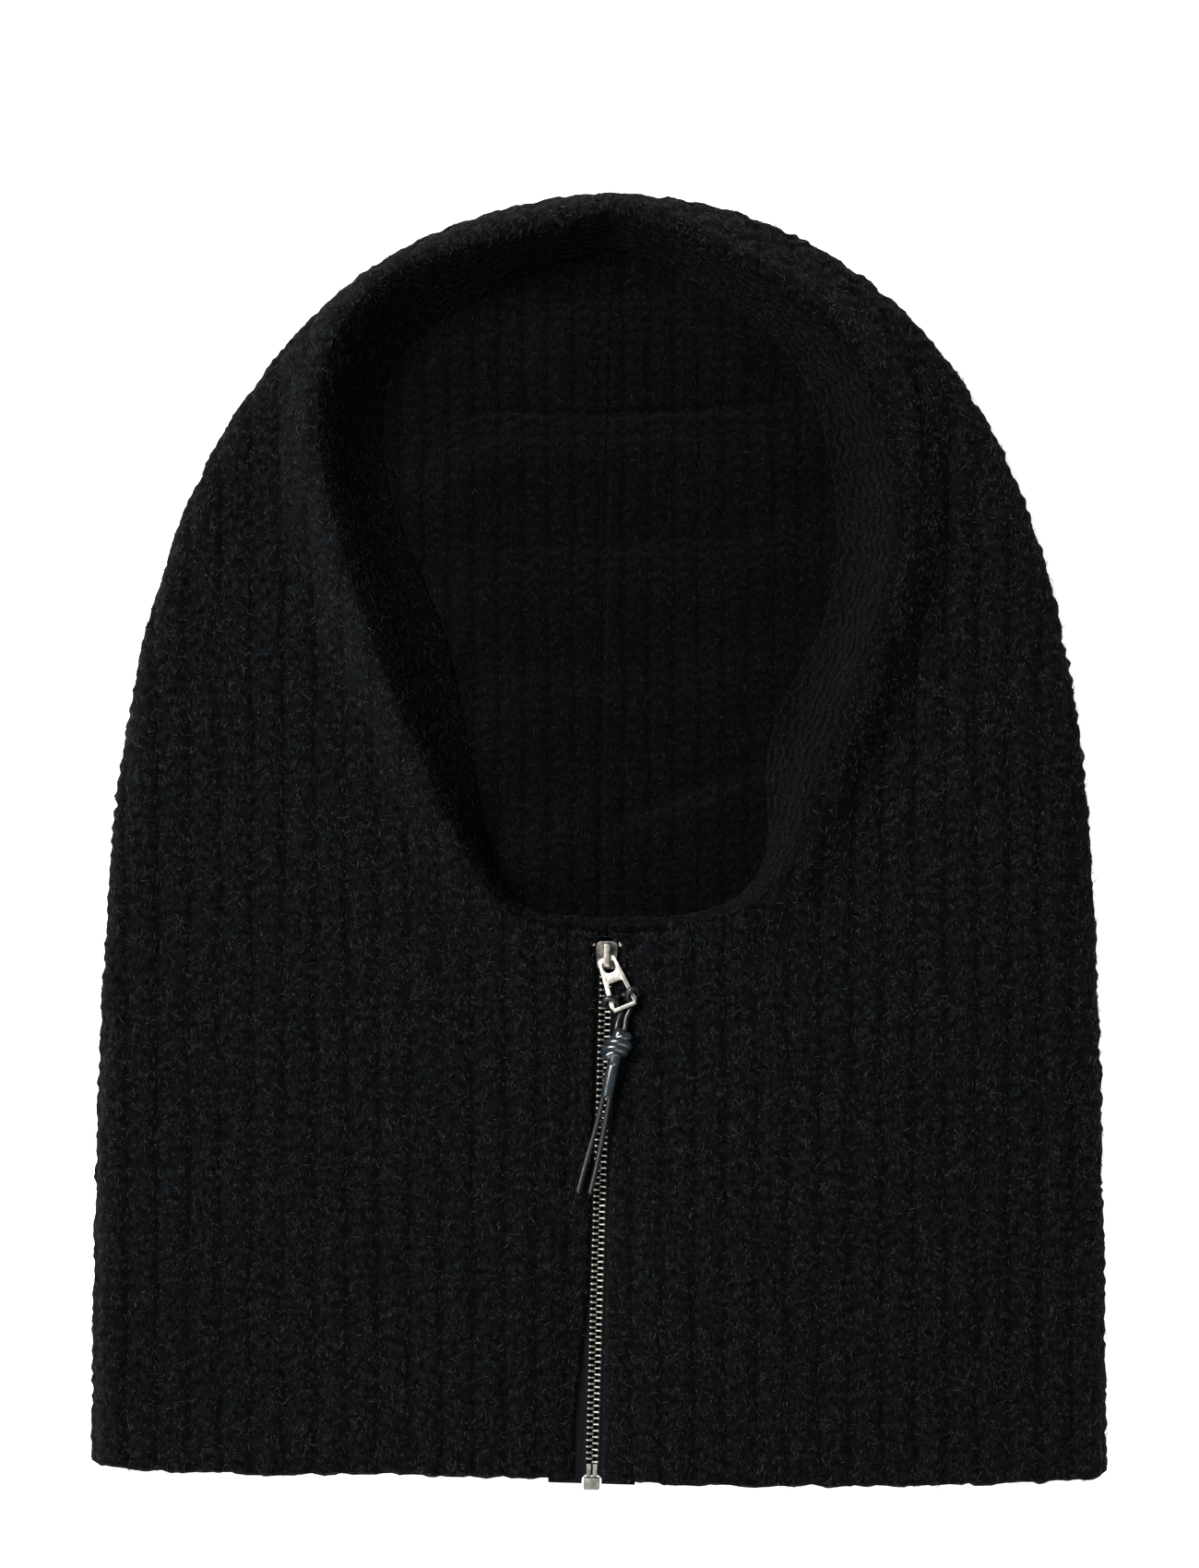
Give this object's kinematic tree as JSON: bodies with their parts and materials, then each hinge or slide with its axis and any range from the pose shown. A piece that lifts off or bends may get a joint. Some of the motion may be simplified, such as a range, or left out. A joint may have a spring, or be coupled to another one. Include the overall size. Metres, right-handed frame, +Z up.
{
  "type": "balaclava",
  "caption": "Knitted hood with a face opening and a front zip from the opening to the hem, lying flat on its back.",
  "frame": {"origin": "on the table, under the middle of the hood as it lies flat on its back", "axes": "+X to the right of someone looking down on it, +Y from the hem to the crown, +Z up off the table"},
  "size_m": [0.33, 0.4201, 0.031],
  "materials": {
    "knit": "thick brushed black rib knit, matt and hairy",
    "webbing": "fine woven black zip tape and thread",
    "nickel": "satin nickel",
    "dull_nickel": "dull grey nickel",
    "cord_rubber": "glossy black rubber",
    "slate_rubber": "glossy slate-grey translucent rubber"
  },
  "bodies": {
    "hood": {"front_left_panel": "knit", "front_right_panel": "knit", "back_left_panel": "knit", "back_right_panel": "knit", "centre_back_seam": "knit", "face_band": "knit", "zip_tape_left": "webbing", "zip_tape_right": "webbing", "zip_stitch_left": "webbing", "zip_stitch_right": "webbing", "zip_teeth_left": "nickel", "zip_teeth_right": "nickel", "top_stop_left": "nickel", "top_stop_right": "nickel", "retainer_box": "dull_nickel", "box_pin": "dull_nickel", "insertion_pin": "dull_nickel"},
    "slider": {"slider_body": "nickel", "slider_bail": "nickel"},
    "puller": {"puller": "nickel", "cord_loop": "cord_rubber"},
    "cord_end": {"cord_knot": "slate_rubber", "cord_sleeve": "slate_rubber", "cord_tail_left": "cord_rubber", "cord_tail_right": "cord_rubber"}
  },
  "joints": [
    {"name": "slider_travel", "type": "slide", "parent": "hood", "child": "slider", "axis": [-0.029, -0.9996, 0], "range_m": [0, 0.164], "deforming": ["zip_teeth_left", "zip_teeth_right"]},
    {"name": "puller_flip", "type": "hinge", "parent": "slider", "child": "puller", "pos_m": [0.00248, -0.03817, 0.0171], "axis": [-0.9304, -0.3665, 0], "range_deg": [0, 125]},
    {"name": "cord_swing", "type": "hinge", "parent": "puller", "child": "cord_end", "pos_m": [0.00694, -0.06005, 0.0204], "axis": [0, 0, 1], "range_deg": [-18, 18]}
  ]
}
